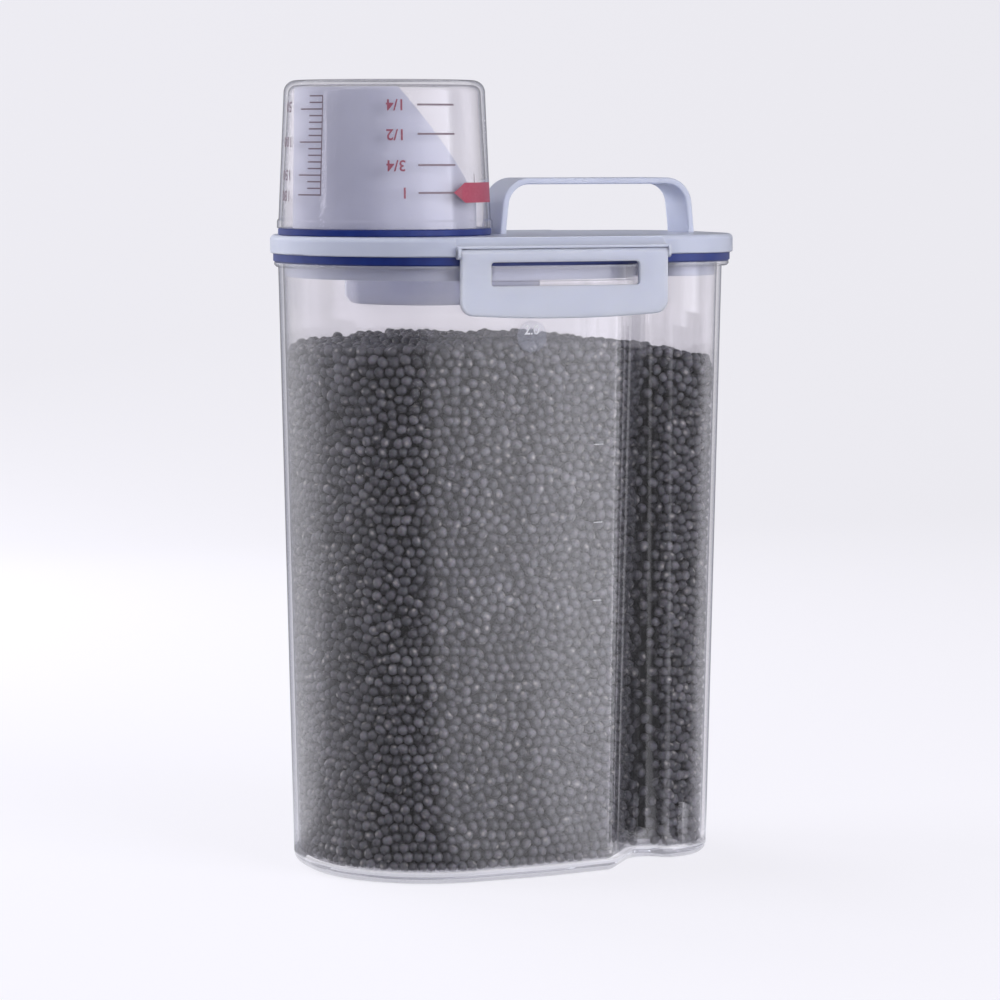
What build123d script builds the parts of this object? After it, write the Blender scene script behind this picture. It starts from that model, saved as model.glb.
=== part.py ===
"""Pet food storage container with a latched lid, a spout under a measuring cup and a strap handle.

Millimetres. X runs along the length with the cup at -X, the front faces -Y, Z is up and the base
stands on Z = 0. The plan of the body is drawn once, at the base, and every ring that follows the
body's wall is an offset of it.
"""
import math
import os

from build123d import *

# body plan at the base, corners before rounding
lid_half = 86.6             # half the length over the lid
nose_over, rear_over = 7.9, 9.2     # lid's ends outside the base plan
nose_x = nose_over - lid_half
half_width = 51.5
nose_flat = 3.0             # flat middle of the nose, to each side
flank_x, flank_r = -2.0, 120.0
shoulder_in = 3.8           # the flank's taper down to the groove
shoulder_r = 8.0
groove_slope = 1.184
rear_half = 34.5            # half width of the rear block
rear_x = lid_half - rear_over
block_l, block_r = 23.4, 6.5
block_x = rear_x - block_l
waist_l, waist_half, waist_r = 7.5, 24.5, 7.0
waist_x = block_x - waist_l
rear_taper = 1.0
rear_r = 20.0
wall = 1.8
floor_t = 4.0
wall_grow = 5.0             # how far the wall leans outwards over the body's height
foot_round = 4.0
foot_inner = 2.5

# heights
rim_z = 225.2
flange_t = 1.8
flange_in = 1.5             # rim flange inside the lid's edge
flange_top, flange_low = 0.5, 0.7
gasket_t = 3.2
lid_z = rim_z + gasket_t    # underside of the lid's edge
lid_h = 6.9
deck_t = 2.5
plug_depth = 5.4            # plug below the rim
top_z = lid_z + lid_h

# lid plan
lid_over = 8.0              # lid's sides outside the base plan
lid_width = half_width + lid_over
lid_shoulder_in, lid_shoulder_r = 4.2, 40.0
lid_slope = 0.408
lid_block_l, lid_block_r = 32.6, 14.0
lid_block_x = lid_half - lid_block_l
lid_rear = rear_half + lid_over
lid_rear_taper = 1.5
lid_rear_r = 30.0
lid_top_round, lid_low_round = 1.8, 0.6
plug_gap = 0.8              # plug to the body's inner wall
plug_t = 1.8
gasket_in = 1.1             # gasket outer edge, inside the lid's edge
gasket_gap = 0.2            # gasket to the plug
gasket_chamfer = 0.5

# latches
latch_x = 0.7               # middle of both latches along X
latch_w = 81.0
latch_t = 2.2
latch_bottom = 206.1
latch_bow = 1.6             # how far the lower edge bows down
latch_corner_r, latch_edge_r = 5.0, 0.7
latch_over = 9.6            # latch's face outside the base plan
latch_out = half_width + latch_over
barrel_r = 1.8
axis_y = latch_out - barrel_r
axis_z = 229.4
window_w, window_low, window_high = 58.4, 217.9, 226.5
window_r = 1.2
pin_r, pin_gap = 1.1, 0.08
ear_t, ear_gap = 1.0, 0.2
shelf_gap = 0.25            # shelf above the barrel
shelf_in, shelf_lip = 1.0, 0.9      # shelf's front edge inside the latch's face, and its thickness
shelf_out = latch_out - shelf_in
scoop_depth = 7.6
scoop_back = latch_out - scoop_depth
scoop_step = 0.3            # scoop's upper edge below the lid's top
scoop_bend = (0.65, 0.19)   # middle of the scoop's curve, as parts of its depth and height
recess_gap = 0.4            # lid behind the barrel

# catch ribs on the body
catch_w = 55.4
catch_low = 219.5
catch_in = 0.9              # rib inside the latch's face
catch_out = latch_out - catch_in
catch_r = 0.6

# badge on the front wall
badge_x, badge_z, badge_r, badge_out = -10.8, 199.6, 6.0, 0.4

# cup, spout and their gasket
cup_r = 39.8                # rim of the cup
cup_in = 0.7                # cup's rim inside the lid's nose
cup_x = cup_r + cup_in - lid_half
cup_gasket_t = 2.6
cup_z = top_z + cup_gasket_t
cup_top = 292.0
cup_wall = 1.6
cup_floor_t = 1.8
cup_top_r = 36.9
cup_band, cup_band_top = 2.6, 3.4
cup_band_in = 0.6           # wall above the rim's band, inside the band
cup_round, cup_inner_round = 4.5, 3.0
spout_r = 34.0
spout_draft = 0.8
spout_wall = 1.8
spout_gap = 0.8             # spout's lip to the cup's inner face
spout_foot = 2.0            # height over which the bore widens above the neck
neck_r = 31.7
neck_depth = 5.3
neck_gap = 0.1
slant_x, slant_h = -7.0, 6.9        # high end from the axis, low end above the lid
cup_gasket_in, cup_gasket_gap, cup_gasket_chamfer = 0.4, 0.3, 0.4

# handle
handle_gap = 2.5            # front end behind the cup's rim
handle_in = 10.7            # rear end inside the lid's rear end
handle_x0, handle_x1 = cup_x + cup_r + handle_gap, lid_half - handle_in
handle_top = 256.1
handle_w = 19.2
handle_t = 2.4
handle_lean = 2.0
handle_r, handle_edge_r = 10.5, 0.7
slot_depth = 1.3
slot_gap = 0.1

over = 5.0                  # how far one shape runs into another where they join or cut


def plan(corners, grow=0.0):
    """Face symmetric about X through (x, y, radius) corners given from nose to rear, grown outwards."""
    loop = corners + [(x, -y, r) for x, y, r in reversed(corners)]
    n = len(loop)
    points = [Vector(x, y) for x, y, _ in loop]
    along = [(points[(i + 1) % n] - points[i]).normalized() for i in range(n)]
    ends, edges = [], []
    for i in range(n):
        a, b = along[i - 1], along[i]
        turn = math.asin(max(-1.0, min(1.0, a.X * b.Y - a.Y * b.X)))
        if a.dot(b) < 0:
            turn = math.copysign(math.pi, turn) - turn
        half = math.tan(abs(turn) / 2)
        out_a, out_b = Vector(-a.Y, a.X), Vector(-b.Y, b.X)
        corner = points[i] + (out_a + out_b) * (grow / (1 + out_a.dot(out_b)))
        r = loop[i][2] - math.copysign(1, turn) * grow
        start, end = corner - a * r * half, corner + b * r * half
        to_middle = (start + end) * 0.5 - corner
        middle = corner + to_middle.normalized() * r * (1 / math.cos(turn / 2) - 1)
        ends.append((start, end))
        edges.append(ThreePointArc(start, middle, end))
    for i in range(n):
        a, b = ends[i][1], ends[(i + 1) % n][0]
        if (b - a).dot(along[i]) < -1e-6:
            raise ValueError(f"corner radii overlap after corner {i}")
        if (b - a).length > 1e-6:
            edges.append(Line(a, b))
    return Sketch() + make_face(edges)


def shoulder(x, y, half_width_there, slope):
    """Corner where the line of that slope through (x, y) reaches the half width."""
    return x - (half_width_there - y) / slope, half_width_there


body_corners = [
    (nose_x, half_width, half_width - nose_flat),
    (flank_x, half_width, flank_r),
    (*shoulder(waist_x, waist_half, half_width - shoulder_in, groove_slope), shoulder_r),
    (waist_x, waist_half, waist_r),
    (block_x, rear_half, block_r),
    (rear_x, rear_half - rear_taper, rear_r),
]
lid_block = lid_rear + lid_rear_taper
lid_corners = [
    (-lid_half, lid_width, lid_width - nose_flat),
    (0.0, lid_width, flank_r),
    (*shoulder(lid_block_x, lid_block, lid_width - lid_shoulder_in, lid_slope), lid_shoulder_r),
    (lid_block_x, lid_block, lid_block_r),
    (lid_half, lid_rear, lid_rear_r),
]


def body_ring(grow, z, height, taper=0.0):
    """Prism on the body's plan grown by grow, from z upwards."""
    return Pos(0, 0, z) * extrude(plan(body_corners, grow), height, taper=taper)


def edges_near(part, z, tol=0.01):
    return part.edges().filter_by(lambda e: abs(e.bounding_box().min.Z - z) < tol
                                  and abs(e.bounding_box().max.Z - z) < tol)


def mirrored(part):
    return mirror(part, Plane.XZ)


def block(x, y, z):
    """Box between the pairs x, y and z."""
    size = [b - a for a, b in (x, y, z)]
    return Pos(*[(a + b) / 2 for a, b in (x, y, z)]) * Box(*size)


lean = -math.degrees(math.atan2(wall_grow, rim_z))
shelf_low = axis_z + barrel_r + shelf_gap
plug_z = rim_z - plug_depth
plug_out = wall_grow * plug_z / rim_z - wall - plug_gap
latch_ends = (latch_x - latch_w / 2 - ear_gap, latch_x + latch_w / 2 + ear_gap)


def latch_recess(z0, z1):
    """Space cut out behind the front latch's barrel, from z0 to z1."""
    return block(latch_ends, (-lid_width - over, -axis_y + barrel_r + recess_gap), (z0, z1))


def make_body():
    shell = body_ring(0, 0, rim_z, lean)
    shell = fillet(edges_near(shell, 0), foot_round)
    flange = Pos(0, 0, rim_z - flange_t) * extrude(plan(lid_corners, -flange_in), flange_t)
    flange = chamfer(edges_near(flange, rim_z - flange_t), flange_low)
    body = shell + fillet(edges_near(flange, rim_z), flange_top)
    x = (latch_x - catch_w / 2, latch_x + catch_w / 2)
    catch = block(x, (-catch_out, -half_width), (catch_low, rim_z))
    catch = fillet(catch.edges().filter_by(Axis.X).group_by(Axis.Y)[0], catch_r)
    badge = Pos(badge_x, -half_width, badge_z) * Rot(90, 0, 0) * Cylinder(
        badge_r, 2 * (wall_grow * badge_z / rim_z + badge_out))
    body = body + catch + mirrored(catch) + badge
    inner = floor_t * wall_grow / rim_z - wall
    cavity = body_ring(inner, floor_t, rim_z - floor_t + 1, lean)
    return body - fillet(edges_near(cavity, floor_t), foot_inner)


def make_shelf():
    """Shelf over the front latch's barrel, scooped out on top, with the ears that hold its pins."""
    scoop_top = top_z - scoop_step
    front, back = (-shelf_out, shelf_low + shelf_lip), (-scoop_back, scoop_top)
    bend = tuple(a + (b - a) * part for a, b, part in zip(front, back, scoop_bend))
    inner = -half_width + over
    edges = [
        Line((-shelf_out, shelf_low), front),
        ThreePointArc(front, bend, back),
        Polyline(back, (-scoop_back, top_z), (inner, top_z), (inner, shelf_low), (-shelf_out, shelf_low)),
    ]
    x0, x1 = latch_ends[0] - ear_t, latch_ends[1] + ear_t
    shelf = Pos(x0, 0, 0) * extrude(Plane.YZ * make_face(edges), x1 - x0)
    for start in (x0, x1 - ear_t):
        ends = (start, start + ear_t)
        shelf += Pos(start + ear_t / 2, -axis_y, axis_z) * Rot(0, 90, 0) * Cylinder(barrel_r, ear_t)
        shelf += block(ends, (-axis_y, inner), (axis_z, shelf_low + shelf_lip / 2))
        shelf += block(ends, (-axis_y - barrel_r, -axis_y), (axis_z, shelf_low + shelf_lip / 2))
    return shelf


def make_lid():
    lid = Pos(0, 0, lid_z) * extrude(plan(lid_corners), lid_h)
    lid = fillet(edges_near(lid, top_z), lid_top_round)
    lid = fillet(edges_near(lid, lid_z), lid_low_round)
    recess = latch_recess(lid_z - over, shelf_low)
    recess += block((latch_ends[0] - ear_t, latch_ends[1] + ear_t),
                    (-lid_width - over, -scoop_back), (shelf_low, top_z + over))
    lid = lid - recess - mirrored(recess)
    shelf = make_shelf()
    bore = Pos(latch_x, -axis_y, axis_z) * Rot(0, 90, 0) * Cylinder(
        pin_r + pin_gap, latch_w + 2 * (ear_gap + ear_t) + 0.2)
    lid = lid + shelf + mirrored(shelf) - bore - mirrored(bore)
    lid += body_ring(plug_out, plug_z, lid_z - plug_z + 1)
    lid -= body_ring(plug_out - plug_t, plug_z - 1, top_z - deck_t - plug_z + 1)
    lid -= Pos(cup_x, 0, top_z) * Cylinder(neck_r + neck_gap, 4 * over)
    for x in (handle_x0, handle_x1 - handle_t):
        lid -= block((x - slot_gap, x + handle_t + slot_gap),
                     (-handle_w / 2 - slot_gap, handle_w / 2 + slot_gap), (top_z - slot_depth, top_z + 1))
    return lid


def make_lid_gasket():
    ring = Pos(0, 0, rim_z) * extrude(plan(lid_corners, -gasket_in), gasket_t)
    ring = chamfer(edges_near(ring, rim_z), gasket_chamfer)
    ring -= body_ring(plug_out + gasket_gap, rim_z - 1, gasket_t + 2)
    recess = latch_recess(rim_z - 1, lid_z + 1)
    return ring - recess - mirrored(recess)


def make_latch():
    """Front latch, hanging closed from its barrel."""
    x0, x1 = latch_x - latch_w / 2, latch_x + latch_w / 2
    low = latch_bottom + latch_bow
    outline = [
        ThreePointArc((x0, low), (latch_x, latch_bottom), (x1, low)),
        Polyline((x1, low), (x1, axis_z), (x0, axis_z), (x0, low)),
    ]
    face = Sketch() + make_face(outline)
    face = fillet(face.vertices().group_by(Axis.Y)[0], latch_corner_r)
    face -= Pos(latch_x, (window_low + window_high) / 2) * RectangleRounded(
        window_w, window_high - window_low, window_r)
    plate = Pos(0, -latch_out, 0) * Rot(90, 0, 0) * extrude(face, -latch_t)
    rim = plate.edges().group_by(Axis.Y)[0].filter_by(lambda e: e.center().Z < window_low - 1
                                                      or abs(e.center().X - latch_x) > latch_w / 2 - 1)
    plate = fillet(rim, latch_edge_r)
    barrel = Pos(latch_x, -axis_y, axis_z) * Rot(0, 90, 0) * Cylinder(barrel_r, latch_w)
    pins = Pos(latch_x, -axis_y, axis_z) * Rot(0, 90, 0) * Cylinder(
        pin_r, latch_w + 2 * (ear_gap + ear_t))
    return plate + barrel + pins


def make_cup():
    floor_z = cup_top - cup_floor_t
    outer = [(0, cup_z), (cup_r, cup_z), (cup_r, cup_z + cup_band),
             (cup_r - cup_band_in, cup_z + cup_band_top), (cup_top_r, cup_top), (0, cup_top)]
    inner = [(0, cup_z - 1), (cup_r - cup_wall, cup_z - 1), (cup_r - cup_wall, cup_z + cup_band),
             (cup_top_r - cup_wall, floor_z), (0, floor_z)]
    solids = []
    for pts, r in ((outer, cup_round), (inner, cup_inner_round)):
        face = make_face(Polyline(*[(x, z) for x, z in pts], close=True))
        solid = revolve(Plane.XZ * face, Axis.Z)
        top = solid.edges().filter_by(GeomType.CIRCLE).group_by(Axis.Z)[-1]
        solids.append(fillet(top, r))
    return Pos(cup_x, 0, 0) * (solids[0] - solids[1])


def make_spout():
    lip_z = cup_top - cup_floor_t - spout_gap
    lip_r = spout_r - spout_draft
    neck_z = top_z - neck_depth
    pts = [(neck_r - spout_wall, neck_z), (neck_r, neck_z), (neck_r, top_z),
           (spout_r, top_z), (lip_r, lip_z), (lip_r - spout_wall, lip_z),
           (spout_r - spout_wall, top_z + spout_foot), (neck_r - spout_wall, top_z)]
    tube = revolve(Plane.XZ * make_face(Polyline(*pts, close=True)), Axis.Z)
    drop = (lip_z - top_z - slant_h) / (spout_r - slant_x)
    reach = 2 * spout_r
    cut = [(slant_x, lip_z), (slant_x, lip_z + over), (slant_x + reach, lip_z + over),
           (slant_x + reach, lip_z - reach * drop)]
    cutter = extrude(Plane.XZ * make_face(Polyline(*cut, close=True)), spout_r * 2, both=True)
    return Pos(cup_x, 0, 0) * (tube - cutter)


def make_cup_gasket():
    ring = Cylinder(cup_r - cup_gasket_in, cup_gasket_t) - Cylinder(spout_r + cup_gasket_gap, cup_gasket_t)
    outer = ring.edges().filter_by(GeomType.CIRCLE).sort_by(SortBy.RADIUS)[-2:]
    return Pos(cup_x, 0, top_z + cup_gasket_t / 2) * chamfer(outer, cup_gasket_chamfer)


def make_handle():
    foot = top_z - slot_depth
    faces = []
    for inset in (0, handle_t):
        x0, x1, top = handle_x0 + inset, handle_x1 - inset, handle_top - inset
        low = foot - (1 if inset else 0)
        pts = [(x0, low), (x0, top_z), (x0 + handle_lean, top),
               (x1 - handle_lean, top), (x1, top_z), (x1, low)]
        face = Sketch() + make_face(Polyline(*pts, close=True))
        faces.append(fillet(face.vertices().group_by(Axis.Y)[-1], handle_r - inset))
    arch = extrude(Plane.XZ * (faces[0] - faces[1]), handle_w / 2, both=True)
    upper = arch.edges().filter_by(lambda e: e.bounding_box().min.Z > top_z - 0.01
                                   and e.bounding_box().size.Y < 0.01)
    return fillet(upper, handle_edge_r)


os.makedirs("parts", exist_ok=True)
latch = make_latch()
parts = {
    "container_body": make_body(),
    "lid": make_lid(),
    "lid_gasket": make_lid_gasket(),
    "pouring_spout": make_spout(),
    "cup_gasket": make_cup_gasket(),
    "measuring_cup": make_cup(),
    "front_latch": latch,
    "rear_latch": mirrored(latch),
    "handle": make_handle(),
}
for name, part in parts.items():
    export_step(part, f"parts/{name}.step")
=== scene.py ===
"""Looks of the pet food storage container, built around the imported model. Metres, +Z up."""
import math

import bmesh
import bpy
import numpy as np
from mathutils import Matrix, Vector
from mathutils.bvhtree import BVHTree
from mathutils.kdtree import KDTree


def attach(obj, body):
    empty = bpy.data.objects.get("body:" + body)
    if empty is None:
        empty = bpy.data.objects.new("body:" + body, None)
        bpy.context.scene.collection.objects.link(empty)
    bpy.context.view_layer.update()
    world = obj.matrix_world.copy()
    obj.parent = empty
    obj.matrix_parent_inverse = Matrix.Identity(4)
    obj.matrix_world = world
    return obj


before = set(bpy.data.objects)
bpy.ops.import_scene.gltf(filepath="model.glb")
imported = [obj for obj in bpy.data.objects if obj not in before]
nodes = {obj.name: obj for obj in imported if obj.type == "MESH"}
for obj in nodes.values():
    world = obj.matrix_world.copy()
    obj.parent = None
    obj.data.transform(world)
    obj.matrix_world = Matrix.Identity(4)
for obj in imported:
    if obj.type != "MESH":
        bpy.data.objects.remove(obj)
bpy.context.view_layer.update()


# Container body: one clear injection-moulded shell of styrene plastic, polished inside and out.
# It leans outwards to a rim flange and is pinched on both sides near the rear, for the hand.
MM = 0.001
STYRENE_IOR = 1.57
POLISHED = 0.03       # roughness of a polished mould
THIN_SHARE = 0.07     # how much of a thin wall is drawn bending the light; the rest is clear
EDGE_BLEND = 1.5 * MM


def linear(hex_colour):
    """sRGB hex to the linear colour that a shader socket takes."""
    parts = [int(hex_colour[i:i + 2], 16) / 255 for i in (1, 3, 5)]
    return [p / 12.92 if p <= 0.04045 else ((p + 0.055) / 1.055) ** 2.4 for p in parts] + [1.0]


def new_material(name, values):
    """A material, its node tree and its Principled shader with these values on its sockets."""
    material = bpy.data.materials.new(name)
    material.use_nodes = True
    shader = material.node_tree.nodes["Principled BSDF"]
    for key, value in values.items():
        shader.inputs[key].default_value = value
    return material, material.node_tree, shader


def add(tree, kind, inputs=None, links=None, stops=(), **settings):
    """A node with its settings, input values, the sockets that feed it and its colour stops."""
    node = tree.nodes.new(kind)
    for key, value in settings.items():
        setattr(node, key, value)
    for key, value in (inputs or {}).items():
        node.inputs[key].default_value = value
    for key, socket in (links or {}).items():
        tree.links.new(socket, node.inputs[key])
    if stops:
        for position, _ in stops[1:-1]:
            node.color_ramp.elements.new(position)
        for element, (position, colour) in zip(node.color_ramp.elements, stops):
            element.position, element.color = position, linear(colour)
    return node


def dress(piece, material):
    """Gives a piece its material."""
    piece.data.materials.clear()
    piece.data.materials.append(material)


def clear_styrene(name, thick_tint, most, foot, rim):
    """Clear styrene, polished: its thin walls hardly bend the light, its thick foot and rim do.

    The eye gets sharp reflections, a blue-grey edge where it looks along a wall, and the plastic's
    own tint in the foot and the rim, of which the share `most` is drawn bending the light.
    """
    material, tree, shader = new_material(name, {
        "Transmission Weight": 0.78, "Roughness": POLISHED, "IOR": STYRENE_IOR})
    place = add(tree, "ShaderNodeTexCoord")
    flow = add(tree, "ShaderNodeTexNoise", {"Scale": 1 / (60 * MM), "Detail": 2.0},
               {"Vector": place.outputs["Object"]})
    tone = add(tree, "ShaderNodeValToRGB", links={"Fac": flow.outputs["Fac"]},
               stops=[(0.3, "#FDFCFD"), (0.7, "#FAF9FB")])
    waves = add(tree, "ShaderNodeBump", {"Strength": 0.05, "Distance": 0.2 * MM},
                {"Height": flow.outputs["Fac"]})
    tree.links.new(waves.outputs["Normal"], shader.inputs["Normal"])

    facing = add(tree, "ShaderNodeLayerWeight", {"Blend": 0.5})
    long_way = add(tree, "ShaderNodeMapRange", {"From Min": 0.7, "To Max": 0.75},
                   {"Value": facing.outputs["Facing"]})
    edge_tint = add(tree, "ShaderNodeMix", {"B": linear("#A9AEC6")},
                    {"Factor": long_way.outputs["Result"], "A": tone.outputs["Color"]},
                    data_type="RGBA")
    clear = add(tree, "ShaderNodeBsdfTransparent", links={"Color": edge_tint.outputs["Result"]})

    height = add(tree, "ShaderNodeSeparateXYZ", links={"Vector": place.outputs["Object"]})
    low, high = [add(tree, "ShaderNodeMapRange", {"From Min": inner, "From Max": outer,
                                                  "To Min": THIN_SHARE, "To Max": most},
                     {"Value": height.outputs["Z"]})
                 for inner, outer in ((foot + EDGE_BLEND, foot), (rim - EDGE_BLEND, rim))]
    thick = add(tree, "ShaderNodeMath", operation="MAXIMUM",
                links={0: low.outputs["Result"], 1: high.outputs["Result"]})
    body_tint = add(tree, "ShaderNodeMix", {"B": linear(thick_tint)},
                    {"Factor": thick.outputs["Value"], "A": tone.outputs["Color"]},
                    data_type="RGBA")
    tree.links.new(body_tint.outputs["Result"], shader.inputs["Base Color"])
    bent = add(tree, "ShaderNodeMixShader", links={
        0: thick.outputs["Value"], 1: clear.outputs["BSDF"], 2: shader.outputs["BSDF"]})

    side = add(tree, "ShaderNodeNewGeometry")
    index = add(tree, "ShaderNodeMapRange", {"To Min": STYRENE_IOR, "To Max": 1 / STYRENE_IOR},
                {"Value": side.outputs["Backfacing"]})
    mirror = add(tree, "ShaderNodeFresnel", links={"IOR": index.outputs["Result"],
                                                   "Normal": waves.outputs["Normal"]})
    gloss = add(tree, "ShaderNodeBsdfGlossy", {"Roughness": POLISHED},
                {"Normal": waves.outputs["Normal"]})
    surface = add(tree, "ShaderNodeMixShader", links={
        0: mirror.outputs["Fac"], 1: bent.outputs["Shader"], 2: gloss.outputs["BSDF"]})
    tree.links.new(surface.outputs["Shader"], tree.nodes["Material Output"].inputs["Surface"])
    return material


dress(nodes["container_body"],
      clear_styrene("clear_styrene_body", "#DCDDEA", 0.9, 4 * MM, 225.5 * MM))


# Beans: small dark beans fill the body to about 195 mm; they are the contents, heaped by hand.
# Each is a smooth, slightly flattened oval with a pale scar on one side. Two layers against the
# wall and two on top are made bean by bean, because only these show.
BEAN = Vector((2.2, 1.95, 1.85)) * MM
BEAN_PITCH = 4.15 * MM
FLOOR = 4.2 * MM
FILL_TOP = 195.5 * MM
HEAP_MIDDLE, HEAP_REACH = -8 * MM, 75 * MM
END_FALL, REAR_FALL = 3 * MM, 3.5 * MM
LOW_CUT, HIGH_CUT = 20 * MM, 180 * MM
BEANS_IN_A_PIECE = 2400     # of 80 triangles each
rng = np.random.default_rng(7)


def wall_loop(height):
    """The inner outline of the body at a height, as points in order."""
    cut = bmesh.new()
    cut.from_mesh(nodes["container_body"].data)
    plane = bmesh.ops.bisect_plane(cut, geom=cut.verts[:] + cut.edges[:] + cut.faces[:],
                                   plane_co=(0, 0, height), plane_no=(0, 0, 1))
    edges = [g for g in plane["geom_cut"] if isinstance(g, bmesh.types.BMEdge)]
    near = {}
    for edge in edges:
        a, b = [tuple(round(c, 6) for c in v.co.xy) for v in edge.verts]
        near.setdefault(a, []).append(b)
        near.setdefault(b, []).append(a)
    cut.free()
    loops, left = [], set(near)
    while left:
        loop = [left.pop()]
        while True:
            step = [p for p in near[loop[-1]] if p in left]
            if not step:
                break
            loop.append(step[0])
            left.discard(step[0])
        loops.append(np.array(loop))
    loops.sort(key=lambda points: np.ptp(points[:, 0]))
    return max(loops[:-1], key=len)


def resample(loop, step):
    """The closed outline cut into even steps, with the length of it."""
    closed = np.vstack([loop, loop[:1]])
    along = np.concatenate([[0], np.cumsum(np.hypot(*np.diff(closed, axis=0).T))])
    count = int(along[-1] / step)
    at = np.linspace(0, along[-1], count, endpoint=False)
    return np.column_stack([np.interp(at, along, closed[:, k]) for k in (0, 1)]), along[-1]


def wall_outline(height):
    """The inner outline in half-millimetre steps, turned anticlockwise, with its length."""
    outline, length = resample(wall_loop(height), 0.5 * MM)
    middle = outline.mean(0)
    if np.cross(outline[0] - middle, outline[5] - middle) < 0:
        outline = outline[::-1]
    return outline, length


def outward_of(loop, span):
    """Outward directions of an anticlockwise outline, measured over span points each way."""
    tangent = np.roll(loop, -span, 0) - np.roll(loop, span, 0)
    tangent /= np.hypot(*tangent.T)[:, None]
    return np.column_stack([tangent[:, 1], -tangent[:, 0]])


low_loop, _ = wall_outline(LOW_CUT)
high_loop, wall_length = wall_outline(HIGH_CUT)
lean = (high_loop[:, 0].max() - low_loop[:, 0].max()) / (HIGH_CUT - LOW_CUT)
outward = outward_of(high_loop, 2)


def on_wall(s, height, inset):
    """Points at distance s along the inner wall, moved inwards by inset, with their places."""
    i = (s / wall_length * len(high_loop)).astype(int) % len(high_loop)
    moved = lean * (height - HIGH_CUT) - inset
    return np.column_stack([high_loop[i] + outward[i] * moved[:, None], height]), i


def inside(points, outline):
    """True for points inside a closed outline."""
    x, y = points.T[:, :, None]
    a, b = outline.T[:, None, :], np.roll(outline, -1, 0).T[:, None, :]
    spans = (a[1] > y) != (b[1] > y)
    rise = np.where(b[1] == a[1], 1e-12, b[1] - a[1])
    return (spans & (x < (b[0] - a[0]) * (y - a[1]) / rise + a[0])).sum(1) % 2 == 1


def heap(x, y):
    """Height of the beans: a rippled heap that falls towards both ends, most to the rear."""
    end = np.abs(x - HEAP_MIDDLE) / HEAP_REACH
    ripple = np.sin(x / (9 * MM) + 1.3) * np.cos(y / (11 * MM)) * 0.8 * MM
    return FILL_TOP - END_FALL * end ** 3 - REAR_FALL * (x > HEAP_MIDDLE) * end ** 2 + ripple


def settle(points, pitch, keep):
    """Pushes points apart in twelve gentle rounds, until they lie about one pitch apart."""
    for _ in range(12):
        tree = KDTree(len(points))
        for k, p in enumerate(points):
            tree.insert((p[0], p[1], 0), k)
        tree.balance()
        moved = points.copy()
        for k, p in enumerate(points):
            for _, j, gap in tree.find_range((p[0], p[1], 0), pitch):
                if j != k and gap > 1e-9:
                    moved[k] += (p - points[j]) / gap * (pitch - gap) * 0.28
        points = keep(moved)
    return points


def lattice(width, height, pitch):
    """Points of a loose triangular lattice, each knocked well off its place."""
    rows = int(height / (pitch * 0.866))     # rows of triangles lie sin 60 of a pitch apart
    cols = int(width / pitch)
    u, v = np.meshgrid(np.arange(cols), np.arange(rows))
    u = u + 0.5 * (v % 2)
    flat = np.column_stack([u.ravel() * width / cols, v.ravel() * height / rows])
    return flat + rng.normal(0, 0.3 * pitch, flat.shape)


def wall_layer(pitch):
    """Loose close packing of beans against the wall, as centres and the wall's normals."""
    low, top = FLOOR + 2.0 * MM, FILL_TOP + 6 * MM
    flat = lattice(wall_length, top - low, pitch) + (0, low)
    flat = settle(flat, pitch, lambda p: np.column_stack([p[:, 0] % wall_length,
                                                          np.maximum(p[:, 1], low)]))
    points, i = on_wall(flat[:, 0], flat[:, 1], rng.uniform(0, 0.3 * MM, len(flat)))
    below = points[:, 2] < heap(points[:, 0], points[:, 1]) - 1.0 * MM
    return points[below], outward[i][below]


def top_layer(drop, pitch):
    """Random close packing of beans over the heap, lowered by drop."""
    outline, _ = resample(high_loop + outward * (lean * (FILL_TOP - HIGH_CUT) - 2.4 * MM), 4 * MM)
    low, high = outline.min(0), outline.max(0)
    flat = settle(lattice(*(high - low), pitch) + low, pitch, lambda p: p)
    flat = flat[inside(flat, outline)]
    z = heap(*flat.T) - drop + rng.uniform(-0.7, 0.7, len(flat)) * MM
    return np.column_stack([flat, z])


def bean_shape():
    """Vertices and faces of one bean, flatter on its scar's side, with 1 on the scar."""
    ball = bmesh.new()
    bmesh.ops.create_icosphere(ball, subdivisions=2, radius=1)
    co = np.array([v.co for v in ball.verts])
    faces = np.array([[v.index for v in f.verts] for f in ball.faces])
    ball.free()
    scar = (co[:, 1] > 0.9).astype(float)
    co[:, 1] -= 0.22 * np.clip(co[:, 1], 0, 1) * (1 - co[:, 0] ** 2)
    return co * np.array(BEAN), faces, scar


def turns(count):
    """Random rotations as matrices."""
    q = rng.normal(size=(count, 4))
    q /= np.linalg.norm(q, axis=1)[:, None]
    w, x, y, z = q.T
    return np.stack([
        np.stack([1 - 2 * (y * y + z * z), 2 * (x * y - z * w), 2 * (x * z + y * w)], -1),
        np.stack([2 * (x * y + z * w), 1 - 2 * (x * x + z * z), 2 * (y * z - x * w)], -1),
        np.stack([2 * (x * z - y * w), 2 * (y * z + x * w), 1 - 2 * (x * x + y * y)], -1)], 1)


def reach_along(rotation, normal):
    """How far each turned bean reaches along its wall's normal."""
    flat = np.column_stack([normal, np.zeros(len(normal))])
    return np.linalg.norm(np.einsum("nij,ni->nj", rotation, flat) * np.array(BEAN), axis=1)


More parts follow.
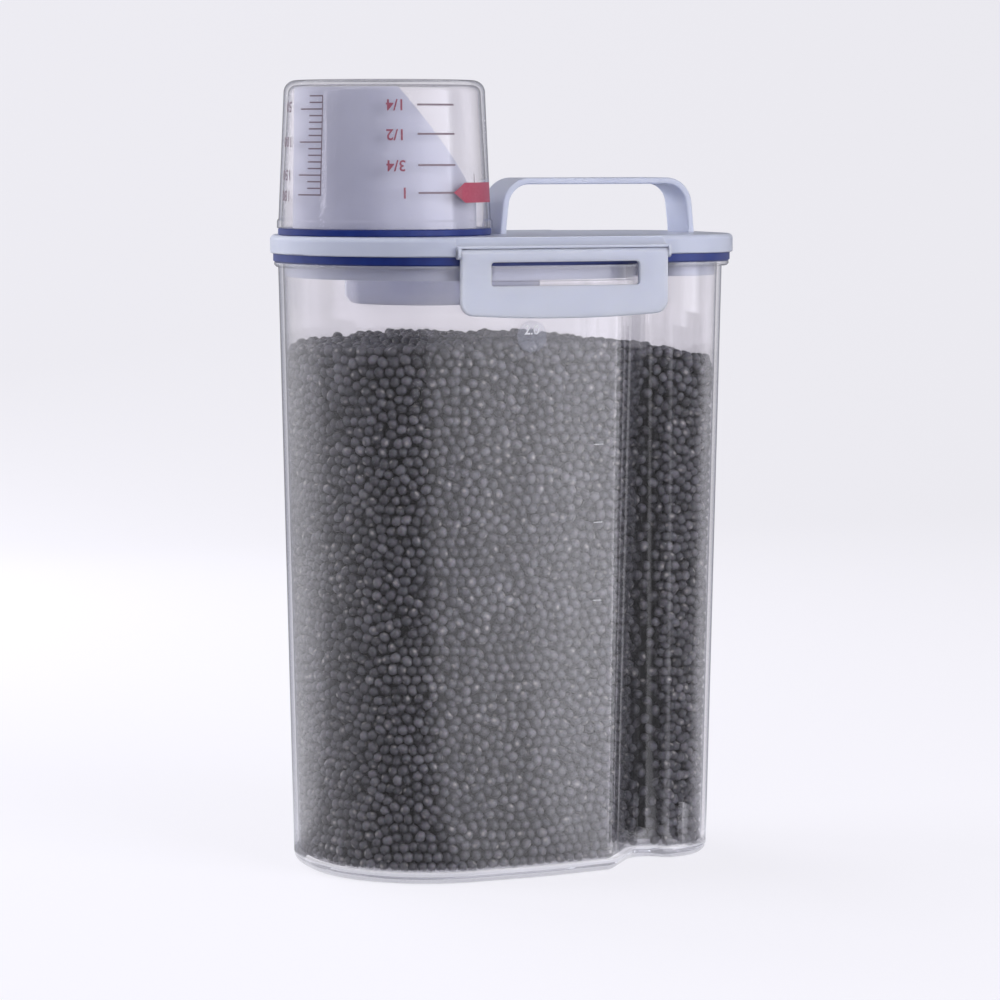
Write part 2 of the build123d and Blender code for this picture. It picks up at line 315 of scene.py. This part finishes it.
def dry_bean_skin():
    """Dry bean skin: dark grey and waxy, each bean its own shade, a pale scar on one side."""
    material, tree, shader = new_material("dry_bean_skin", {"Roughness": 0.38})
    shade = add(tree, "ShaderNodeAttribute", attribute_name="bean_shade")
    scar = add(tree, "ShaderNodeAttribute", attribute_name="bean_scar")
    tone = add(tree, "ShaderNodeValToRGB", links={"Fac": shade.outputs["Fac"]},
               stops=[(0.0, "#46474C"), (0.55, "#5F6066"), (1.0, "#7F7F86")])
    place = add(tree, "ShaderNodeTexCoord")
    speckle = add(tree, "ShaderNodeTexNoise", {"Scale": 1 / (0.9 * MM), "Detail": 3.0},
                  {"Vector": place.outputs["Object"]})
    mottled = add(tree, "ShaderNodeMix", {"Factor": 0.25},
                  {"A": tone.outputs["Color"], "B": speckle.outputs["Color"]},
                  data_type="RGBA", blend_type="OVERLAY")
    marked = add(tree, "ShaderNodeMix", {"B": linear("#B9B7B4")},
                 {"Factor": scar.outputs["Fac"], "A": mottled.outputs["Result"]},
                 data_type="RGBA")
    tree.links.new(marked.outputs["Result"], shader.inputs["Base Color"])
    bump = add(tree, "ShaderNodeBump", {"Strength": 0.15, "Distance": 0.05 * MM},
               {"Height": speckle.outputs["Fac"]})
    tree.links.new(bump.outputs["Normal"], shader.inputs["Normal"])
    return material


def new_object(name, data):
    """A new object of the scene."""
    thing = bpy.data.objects.new(name, data)
    bpy.context.scene.collection.objects.link(thing)
    return thing


bean_co, bean_faces, bean_scar = bean_shape()
skin = dry_bean_skin()
centres, rotations = [], []
for depth, pitch in ((0.12 * MM, BEAN_PITCH), (3.3 * MM, BEAN_PITCH * 1.1)):
    points, normal = wall_layer(pitch)
    rotation = turns(len(points))
    points[:, :2] -= normal * (reach_along(rotation, normal) + depth)[:, None]
    centres.append(points)
    rotations.append(rotation)
for drop, pitch in ((0.0, BEAN_PITCH * 1.02), (3.0 * MM, BEAN_PITCH * 1.1)):
    points = top_layer(drop, pitch)
    centres.append(points)
    rotations.append(turns(len(points)))
centres, rotations = np.vstack(centres), np.vstack(rotations)
order = np.argsort(centres[:, 2])
centres, rotations = centres[order], rotations[order]
sizes = rng.uniform(0.9, 1.06, len(centres))
shades = rng.beta(2.2, 2.2, len(centres))
for part, start in enumerate(range(0, len(centres), BEANS_IN_A_PIECE)):
    pick = slice(start, start + BEANS_IN_A_PIECE)
    many = len(centres[pick])
    co = (np.einsum("nij,vj->nvi", rotations[pick], bean_co) * sizes[pick, None, None]
          + centres[pick, None])
    tri = bean_faces[None] + (np.arange(many) * len(bean_co))[:, None, None]
    mesh = bpy.data.meshes.new(f"bean_fill_{part}")
    mesh.vertices.add(co.shape[0] * co.shape[1])
    mesh.vertices.foreach_set("co", co.ravel())
    mesh.loops.add(tri.size)
    mesh.loops.foreach_set("vertex_index", tri.ravel())
    mesh.polygons.add(tri.shape[0] * tri.shape[1])
    mesh.polygons.foreach_set("loop_start", np.arange(0, tri.size, 3))
    mesh.polygons.foreach_set("use_smooth", np.ones(tri.size // 3, bool))
    mesh.update(calc_edges=True)
    for name, values in (("bean_shade", np.repeat(shades[pick], len(bean_co))),
                         ("bean_scar", np.tile(bean_scar, many))):
        layer = mesh.attributes.new(name, "FLOAT", "POINT")
        layer.data.foreach_set("value", values.astype(np.float32))
    mesh.materials.append(skin)
    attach(new_object(f"bean_fill_{part}", mesh), "container")


# Heart of the bean heap: beans too deep to be seen, stood for by one body under the others, dark
# with painted shade.
# It follows the wall and the heap's top, just inside the beans that are made one by one.
CORE_INSET, CORE_DEPTH = 5.2 * MM, 5 * MM
CORE_LEVELS = [FLOOR + 2 * MM] + list(np.linspace(20 * MM, FILL_TOP - 6 * MM, 6))
core_base, _ = resample(high_loop, 3 * MM)
core_outward = outward_of(core_base, 1)
heart, rings = bmesh.new(), []
for z in CORE_LEVELS:
    ring = core_base + core_outward * (lean * (z - HIGH_CUT) - CORE_INSET)
    top = heap(*ring.T) - CORE_DEPTH
    rings.append([heart.verts.new((x, y, min(z, t))) for (x, y), t in zip(ring, top)])
for below, above in zip(rings, rings[1:]):
    for k in range(len(below)):
        heart.faces.new((below[k - 1], below[k], above[k], above[k - 1]))
heart.faces.new(rings[0][::-1])
heart.faces.new(rings[-1])
mesh = bpy.data.meshes.new("bean_heap_core")
heart.to_mesh(mesh)
heart.free()
core = new_object("bean_heap_core", mesh)

# Painted shade of deep beans: nearly black, in bean-sized cells darker at their rims, so no gap
# shows a plain wall.
dark, tree, shader = new_material("painted_deep_bean_shade", {"Roughness": 0.7})
place = add(tree, "ShaderNodeTexCoord")
# cells lighter in the middle and darker at the rims: painted shade between beans
bean_cell_shade = add(tree, "ShaderNodeTexVoronoi", {"Scale": 1 / (4 * MM)},
            {"Vector": place.outputs["Object"]})
tone = add(tree, "ShaderNodeValToRGB", links={"Fac": bean_cell_shade.outputs["Distance"]},
           stops=[(0.0, "#2A2B2F"), (0.6, "#17181B")])
tree.links.new(tone.outputs["Color"], shader.inputs["Base Color"])
dress(core, dark)
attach(core, "container")


# Lid, handle and latches: polypropylene in a pale blue-grey, moulded with a fine satin surface.
# The latches snap over the body's ribs; the handle's feet sit in two slots of the lid.
def satin_polypropylene(name, colour, deep, weight, depth):
    """Moulded polypropylene: a soft gloss, faint clouds, and light that goes a little way in."""
    material, tree, shader = new_material(name, {
        "Roughness": 0.3, "IOR": 1.49, "Subsurface Weight": weight, "Subsurface Scale": depth,
        "Subsurface Radius": (1.0, 1.0, 1.0)})
    place = add(tree, "ShaderNodeTexCoord")
    cloud = add(tree, "ShaderNodeTexNoise", {"Scale": 1 / (25 * MM), "Detail": 2.0},
                {"Vector": place.outputs["Object"]})
    tone = add(tree, "ShaderNodeValToRGB", links={"Fac": cloud.outputs["Fac"]},
               stops=[(0.35, colour), (0.65, deep)])
    tree.links.new(tone.outputs["Color"], shader.inputs["Base Color"])
    spark = add(tree, "ShaderNodeTexNoise", {"Scale": 1 / (0.35 * MM), "Detail": 2.0},
                {"Vector": place.outputs["Object"]})
    bump = add(tree, "ShaderNodeBump", {"Strength": 0.12, "Distance": 0.03 * MM},
               {"Height": spark.outputs["Fac"]})
    tree.links.new(bump.outputs["Normal"], shader.inputs["Normal"])
    return material


lid_plastic = satin_polypropylene("satin_polypropylene_blue_grey", "#C3C8DB", "#BEC3D7",
                                  0.5, 3 * MM)
for name in ("lid", "handle"):
    dress(nodes[name], lid_plastic)
latch_plastic = satin_polypropylene("satin_polypropylene_latch", "#CBD0E9", "#C6CBE5",
                                    1.0, 8 * MM)
for name in ("front_latch", "rear_latch"):
    dress(nodes[name], latch_plastic)


# Pouring spout: a separate moulding of the same polypropylene, a little less blue.
# Its neck goes down into the lid and its slanted mouth stands under the cup.
dress(nodes["pouring_spout"],
      satin_polypropylene("satin_polypropylene_spout", "#C8CBDC", "#C3C6D8", 0.5, 3 * MM))


# Gaskets: silicone rubber, dyed navy and moulded matt, one under the lid and one under the cup.
# They stay soft, so their edges show a dull sheen rather than a gloss.
silicone, tree, shader = new_material("navy_silicone", {"Roughness": 0.42})
place = add(tree, "ShaderNodeTexCoord")
dust = add(tree, "ShaderNodeTexNoise", {"Scale": 1 / (6 * MM), "Detail": 4.0},
           {"Vector": place.outputs["Object"]})
tone = add(tree, "ShaderNodeValToRGB", links={"Fac": dust.outputs["Fac"]},
           stops=[(0.3, "#0B2066"), (0.7, "#132C74")])
tree.links.new(tone.outputs["Color"], shader.inputs["Base Color"])
skin_bump = add(tree, "ShaderNodeBump", {"Strength": 0.2, "Distance": 0.05 * MM},
                {"Height": dust.outputs["Fac"]})
tree.links.new(skin_bump.outputs["Normal"], shader.inputs["Normal"])
for name in ("lid_gasket", "cup_gasket"):
    dress(nodes[name], silicone)


# Measuring cup: clear styrene like the body, moulded a little thinner, upside down over the spout.
# Its closed end is on top, so only that end is thick enough to bend the light.
dress(nodes["measuring_cup"],
      clear_styrene("clear_styrene_cup", "#F0F0F8", 0.3, 0.0, 291 * MM))


# Scales on the cup: solvent ink, screen-printed on the outside in mauve-grey and maroon.
# The cup stands on its head here, so the figures do too; a plain flag points at the full cup.
# Angles are degrees round the cup from the middle of the print, heights are millimetres.
CUP_X = -46.1 * MM
CUP_LOW_Z, CUP_LOW_R = 241.3 * MM, 39.2 * MM
CUP_TOP_Z, CUP_TOP_R = 292.0 * MM, 36.9 * MM
PRINT_FACE = math.radians(20.7)
PRINT_RADIUS = 38 * MM
INK_HEIGHT = 0.06 * MM
FONT_CAPS = 0.7             # height of a figure in a font of size 1
BOLD = 0.3                  # ink spreads a little past the outline of a figure
LINE = 0.5 * MM
FRACTION_HALF = 0.35        # half the width of a fraction's line
SPINE = (-36.9, -36.3)
FIRST_TICK, TICK_STEP = 286.0, 2.38
LONG_TICKS = (2, 7, 12, 15)
FLAG_TIP, FLAG_SHOULDER, FLAG_END = 40.3, 48.8, 85.0
FLAG_LOW, FLAG_MIDDLE, FLAG_HIGH = 247.4 * MM, 251.1 * MM, 254.7 * MM


def on_cup(angle, z):
    """Point just outside the cup at an angle from the print's middle and a height."""
    r = (CUP_LOW_R + (CUP_TOP_R - CUP_LOW_R) * (z - CUP_LOW_Z) / (CUP_TOP_Z - CUP_LOW_Z)
         + INK_HEIGHT)
    turn = math.radians(angle) - PRINT_FACE
    return CUP_X + r * math.sin(turn), -r * math.cos(turn), z


def mark(name, corners, faces, material, body):
    """Makes a thin printed or moulded mark, which rides on a body."""
    mesh = bpy.data.meshes.new(name)
    mesh.from_pydata(corners, [], faces)
    mesh.materials.append(material)
    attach(new_object(name, mesh), body)


def bar_faces(first, steps):
    """Faces of a bar whose corners come in pairs, from its first corner on."""
    return [(first + 2 * k, first + 2 * k + 2, first + 2 * k + 3, first + 2 * k + 1)
            for k in range(steps)]


def strip(corners, faces, angle0, angle1, z0, z1):
    """Adds a printed bar between two angles and two heights."""
    steps = max(1, int(abs(angle1 - angle0) / 3))
    faces += bar_faces(len(corners), steps)
    for k in range(steps + 1):
        angle = angle0 + (angle1 - angle0) * k / steps
        corners += [on_cup(angle, z0), on_cup(angle, z1)]


def figures(corners, faces, text, height, place):
    """Adds the outline of some figures, mapped by place from their own plane."""
    curve = bpy.data.curves.new("figures", "FONT")
    curve.body, curve.align_x, curve.align_y = text, "CENTER", "CENTER"
    curve.size = height / FONT_CAPS
    curve.resolution_u = 3
    curve.offset = 0.05 * curve.size * BOLD
    flat = bpy.data.objects.new("figures", curve)
    mesh = bpy.data.meshes.new_from_object(flat)
    first = len(corners)
    corners += [place(v.co.x, v.co.y) for v in mesh.vertices]
    faces += [tuple(first + i for i in p.vertices) for p in mesh.polygons]
    bpy.data.objects.remove(flat)
    bpy.data.curves.remove(curve)
    bpy.data.meshes.remove(mesh)


def upside_down(angle, z):
    """Maps the plane of a figure onto the cup around an angle and a height, turned by half."""
    return lambda x, y: on_cup(angle - math.degrees(x / PRINT_RADIUS), z - y)


def ink(name, colour, worn):
    """Screen-printed ink: a dull, slightly uneven film, paler where it has worn."""
    material, tree, shader = new_material(name, {"Roughness": 0.45})
    place = add(tree, "ShaderNodeTexCoord")
    mottle = add(tree, "ShaderNodeTexNoise", {"Scale": 1 / (0.8 * MM)},
                 {"Vector": place.outputs["Object"]})
    tone = add(tree, "ShaderNodeValToRGB", links={"Fac": mottle.outputs["Fac"]},
               stops=[(0.3, colour), (0.75, worn)])
    tree.links.new(tone.outputs["Color"], shader.inputs["Base Color"])
    return material


grey_ink = ink("grey_scale_ink", "#6A5A66", "#7D6C78")
maroon_ink = ink("maroon_scale_ink", "#863E52", "#98586A")
flag_ink = ink("maroon_flag_ink", "#9C3850", "#A64A60")

corners, faces = [], []
strip(corners, faces, *SPINE, 250.1 * MM, 286.2 * MM)
for step in range(16):
    z = (FIRST_TICK - TICK_STEP * step) * MM
    reach = -53.8 if step in LONG_TICKS else -46.3
    strip(corners, faces, reach, -36.6, z - LINE / 2, z + LINE / 2)
for text, z in (("50", 282.3), ("100", 269.6), ("150", 257.6), ("180", 250.0)):
    figures(corners, faces, text, 3.8 * MM, upside_down(-68, z * MM))
mark("scale_in_millilitres", corners, faces, grey_ink, "cup")

corners, faces = [], []
for z, end in ((282.8, 42.0), (272.3, 42.0), (261.1, 42.0), (251.1, 40.5)):
    strip(corners, faces, 18.4, end, (z - FRACTION_HALF) * MM, (z + FRACTION_HALF) * MM)
strip(corners, faces, 57.4, 58.0, 254.6 * MM, 257.8 * MM)
mark("scale_lines", corners, faces, grey_ink, "cup")

corners, faces = [], []
for text, z, angle in (("1/4", 282.9, 6.1), ("1/2", 272.2, 6.2), ("3/4", 261.1, 6.3),
                       ("1", 251.3, 10.8)):
    figures(corners, faces, text, 3.9 * MM, upside_down(angle, z * MM))
mark("scale_fractions", corners, faces, maroon_ink, "cup")

corners = [on_cup(FLAG_TIP, FLAG_MIDDLE), on_cup(FLAG_SHOULDER, FLAG_LOW),
           on_cup(FLAG_SHOULDER, FLAG_HIGH)]
faces = [(0, 1, 2)]
strip(corners, faces, FLAG_SHOULDER, FLAG_END, FLAG_LOW, FLAG_HIGH)
mark("scale_flag", corners, faces, flag_ink, "cup")


# Marks on the body: a round frosted badge with the capacity, and three short level ticks on the
# front wall. They are moulded with the body, raised a little, so they catch the light.
BADGE = Vector((-10.8, -56.36, 199.6)) * MM
BADGE_RADIUS = 5.7 * MM
TICK_X, TICK_LENGTH = 15.4, 3.7
TICK_HALF, TICK_RAISED = 0.18, 0.15
raised, _, _ = new_material("moulded_marks", {
    "Base Color": linear("#E4E4EC"), "Transmission Weight": 0.35, "Roughness": 0.3,
    "IOR": STYRENE_IOR})
frosted, _, _ = new_material("frosted_badge_face", {
    "Base Color": linear("#C4C7DA"), "Roughness": 0.45, "Alpha": 0.24})

corners, faces = [], []
figures(corners, faces, "2.0", 3.4 * MM,
        lambda x, y: (BADGE.x + x, BADGE.y, BADGE.z + 2.2 * MM + y))
mark("capacity_figures", corners, faces, raised, "container")
corners = [(BADGE.x + BADGE_RADIUS * math.cos(k * math.pi / 32), BADGE.y + 0.02 * MM,
            BADGE.z + BADGE_RADIUS * math.sin(k * math.pi / 32)) for k in range(64)]
mark("badge_face", corners, [tuple(range(64))], frosted, "container")

body_mesh = nodes["container_body"].data
wall = BVHTree.FromPolygons([v.co.copy() for v in body_mesh.vertices],
                            [tuple(p.vertices) for p in body_mesh.polygons])
corners, faces = [], []
for z in (159.5, 130.8, 102.0):
    faces += bar_faces(len(corners), 5)
    for k in range(6):
        x = (TICK_X + TICK_LENGTH * k / 5) * MM
        for up in (-TICK_HALF, TICK_HALF):
            hit, normal, _, _ = wall.ray_cast(Vector((x, -0.2, (z + up) * MM)), Vector((0, 1, 0)))
            corners.append(tuple(hit + normal * TICK_RAISED * MM))
mark("level_ticks", corners, faces, raised, "container")


# Studio: pale paper swept up behind the object and lit through, so it shows nearly white, four
# soft lamps and an even sky. Bent cards of lit silk and black velvet stand around the object for
# its reflections alone, as is done to shape the shine of clear plastic.
CARD_COLUMNS = 181
LAMP_DISTANCE, LAMP_AIM = 1.1, (0, 0, 0.14)
FOOT_LENGTH, FOOT_WIDTH = 0.084, 0.058     # half axes of an oval just outside the body's foot
LIGHT_AROUND = [                           # azimuth from the front, and how bright the silk is
    (-180, 0.4), (-165, 0.7), (-150, 0.9), (-124, 0.85), (-113, 0.46), (-91, 0.28), (-70, 0.1),
    (-60, 0.0), (-34, 0.0), (-26, 0.15), (-15, 0.75), (6, 0.9), (17, 1.1), (23, 1.7), (39, 2.3),
    (55, 2.6), (60, 0.6), (70, 0.5), (88, 1.3), (110, 0.5), (130, 0.4), (150, 0.3), (180, 0.4)]


def around(azimuth, distance, height):
    """Place at an azimuth in degrees from the front towards the rear end, in metres."""
    turn = math.radians(azimuth)
    return (distance * math.sin(turn), -distance * math.cos(turn), height)


def soft_lamp(name, azimuth, height, size, power):
    """A square lamp aimed at the object, left out of its reflections."""
    data = bpy.data.lights.new(name, "AREA")
    data.energy, data.size = power, size
    lamp = new_object(name, data)
    lamp.location = around(azimuth, LAMP_DISTANCE, height)
    lamp.rotation_euler = (Vector(LAMP_AIM) - lamp.location).to_track_quat("-Z", "Y").to_euler()
    lamp.visible_glossy = False


def foot_oval(azimuth):
    """Distance of the oval outside the body's foot, at an azimuth."""
    turn = math.radians(azimuth)
    return 1 / math.hypot(math.sin(turn) / FOOT_LENGTH, math.cos(turn) / FOOT_WIDTH)


def card(name, azimuths, shape, value, cloth):
    """A card bent around the object, with its value at each azimuth: only reflections see it.

    Its shape is (distance, height) pairs, where distance 0 stands for the oval at the foot.
    """
    n, there = len(shape), np.linspace(*azimuths, CARD_COLUMNS)
    mesh = bpy.data.meshes.new(name)
    mesh.from_pydata([around(a, d or foot_oval(a), z) for a in there for d, z in shape], [],
                     [(n * k + i, n * k + i + 1, n * k + n + i + 1, n * k + n + i)
                      for k in range(CARD_COLUMNS - 1) for i in range(n - 1)])
    values = np.repeat(np.interp(there, *zip(*value)), n).astype(np.float32)
    mesh.attributes.new("card_value", "FLOAT", "POINT").data.foreach_set("value", values)
    hung = new_object(name, mesh)
    hung.visible_camera = hung.visible_diffuse = False
    hung.visible_shadow = hung.visible_transmission = False
    dress(hung, cloth)


def plain_rays(tree):
    """A socket that is 1 for camera, glossy and transmission rays, and 0 for the others."""
    seen = add(tree, "ShaderNodeLightPath")
    direct = add(tree, "ShaderNodeMath", operation="MAXIMUM",
                 links={0: seen.outputs["Is Camera Ray"], 1: seen.outputs["Is Glossy Ray"]})
    plain = add(tree, "ShaderNodeMath", operation="MAXIMUM",
                links={0: direct.outputs["Value"], 1: seen.outputs["Is Transmission Ray"]})
    return plain.outputs["Value"]


silk, tree, shader = new_material("lit_silk", {
    "Base Color": linear("#202020"), "Roughness": 1.0, "Emission Color": linear("#F8F8FF")})
lit = add(tree, "ShaderNodeAttribute", attribute_name="card_value")
tree.links.new(lit.outputs["Fac"], shader.inputs["Emission Strength"])
velvet, tree, shader = new_material("black_velvet", {
    "Base Color": linear("#101012"), "Roughness": 1.0})
feather = add(tree, "ShaderNodeAttribute", attribute_name="card_value")
tree.links.new(feather.outputs["Fac"], shader.inputs["Alpha"])
card("lit_surround", (-180, 180), [(0, 0.002), (0.95, 0.002), (0.95, 0.8)], LIGHT_AROUND, silk)
card("near_flag", (42, 80), [(0.15, 0.004), (0.15, 0.2)],
     [(42, 0.0), (46, 0.0), (50, 1.0), (60, 1.0), (72, 0.0)], velvet)
card("block_flag", (38, 58), [(0.079, 0.004), (0.079, 0.2)], [(38, 1.0), (58, 1.0)], velvet)
soft_lamp("front_lamp", 24, 0.55, 0.7, 9.3)
soft_lamp("left_lamp", -115, 0.5, 0.8, 10.5)
soft_lamp("back_lamp", -165, 0.6, 0.7, 9.0)
soft_lamp("low_lamp", -28, 0.2, 0.4, 1.6)

world = bpy.data.worlds.new("studio")
bpy.context.scene.world = world
world.use_nodes = True
sky = world.node_tree.nodes["Background"]
sky.inputs["Color"].default_value = linear("#F2F1F6")
level = add(world.node_tree, "ShaderNodeMapRange", {"To Min": 0.28, "To Max": 0.9},
            {"Value": plain_rays(world.node_tree)})
world.node_tree.links.new(level.outputs["Result"], sky.inputs["Strength"])

REACH, BACK, RISE, BEND = 3.0, 1.6, 3.0, 0.5
profile = [(-REACH, 0.0)] + [(BACK - BEND + BEND * math.sin(t), BEND - BEND * math.cos(t))
                             for t in np.linspace(0, math.pi / 2, 17)] + [(BACK, RISE)]
roll = bmesh.new()
left, right = [[roll.verts.new((x, y, z)) for y, z in profile] for x in (-REACH, REACH)]
for k in range(len(profile) - 1):
    roll.faces.new((left[k], right[k], right[k + 1], left[k + 1])).smooth = True
mesh = bpy.data.meshes.new("sweep")
roll.to_mesh(mesh)
roll.free()
sweep = new_object("sweep", mesh)
paper, tree, shader = new_material("pale_paper", {
    "Base Color": linear("#76757E"), "Roughness": 0.9, "Specular IOR Level": 0.0,
    "Emission Color": linear("#F6F5FA")})
level = add(tree, "ShaderNodeMapRange", {"To Max": 0.83}, {"Value": plain_rays(tree)})
tree.links.new(level.outputs["Result"], shader.inputs["Emission Strength"])
dress(sweep, paper)

# The camera stands where the photograph's did: 22.4 degrees round from the front, a little above.
AZIMUTH, PITCH = math.radians(22.41), math.radians(5.33)
DISTANCE, AIM = 1.4346, Vector((0.0, 0.0, 0.1351))
LENS, SENSOR = 137.06, 36.0
look = Vector((math.sin(AZIMUTH) * math.cos(PITCH), math.cos(AZIMUTH) * math.cos(PITCH),
               -math.sin(PITCH)))
camera = new_object("camera", bpy.data.cameras.new("camera"))
camera.data.lens, camera.data.sensor_width = LENS, SENSOR
camera.location = AIM - look * DISTANCE
camera.rotation_euler = look.to_track_quat("-Z", "Y").to_euler()
bpy.context.scene.camera = camera
bpy.context.scene.view_settings.view_transform = "Standard"
